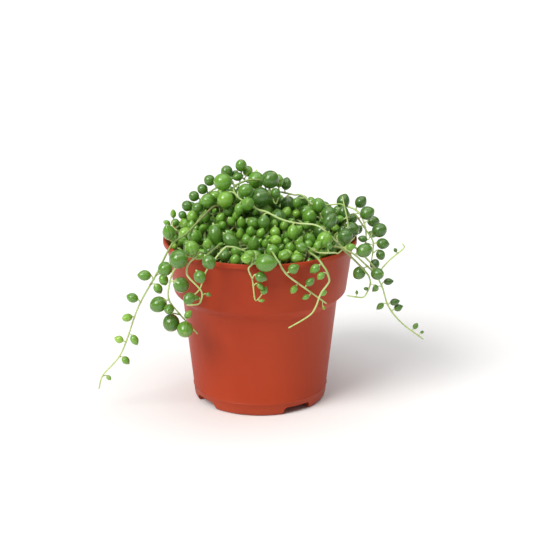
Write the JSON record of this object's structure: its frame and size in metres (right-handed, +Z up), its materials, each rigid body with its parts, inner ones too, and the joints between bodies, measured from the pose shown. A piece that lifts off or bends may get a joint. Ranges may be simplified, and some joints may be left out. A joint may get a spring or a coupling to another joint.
{
  "type": "potted string of pearls",
  "caption": "Trailing succulent with round bead-like leaves on thin stems, mounded in a thin tapered plastic nursery pot.",
  "frame": {"origin": "on the ground at the middle of the whole object's box, which is within about 1 mm of the pot's own axis", "axes": "+Z up along the pot's axis, +X to the right as seen from the front and along the plant's widest spread, the front facing -Y"},
  "size_m": [0.1787, 0.127, 0.1319],
  "materials": {
    "pot": "satin terracotta-coloured thin plastic",
    "soil": "dark brown peat with fine fibres",
    "plant": "waxy green leaves, each with a paler line along it, on pale yellow-green stems"
  },
  "bodies": {
    "root": {"pot": "pot", "soil": "soil", "strand_back_1": "plant", "strand_back_2": "plant", "strand_back_3": "plant", "strand_back_4": "plant", "strand_back_5": "plant", "strand_back_6": "plant", "strand_crossing": "plant", "strand_deep_1": "plant", "strand_deep_2": "plant", "strand_deep_3": "plant", "strand_deep_4": "plant", "strand_deep_5": "plant", "strand_deep_6": "plant", "strand_deep_7": "plant", "strand_deep_8": "plant", "strand_front_bare": "plant", "strand_front_beads": "plant", "strand_front_centre": "plant", "strand_front_right": "plant", "strand_left_cluster": "plant", "strand_left_long": "plant", "strand_left_loop": "plant", "strand_left_shoot": "plant", "strand_mound_centre": "plant", "strand_mound_crown": "plant", "strand_mound_front": "plant", "strand_mound_left": "plant", "strand_mound_lower_left": "plant", "strand_mound_lower_right": "plant", "strand_mound_middle": "plant", "strand_mound_peak": "plant", "strand_mound_right": "plant", "strand_mound_shoulder": "plant", "strand_right_crown": "plant", "strand_right_curl": "plant", "strand_right_drop": "plant", "strand_right_twig": "plant", "strand_right_upright": "plant", "strand_rim_runner": "plant", "strand_skyline_left": "plant", "strand_skyline_right": "plant", "strand_top_1": "plant", "strand_top_10": "plant", "strand_top_11": "plant", "strand_top_12": "plant", "strand_top_13": "plant", "strand_top_2": "plant", "strand_top_3": "plant", "strand_top_4": "plant", "strand_top_5": "plant", "strand_top_6": "plant", "strand_top_7": "plant", "strand_top_8": "plant", "strand_top_9": "plant"}
  },
  "joints": []
}
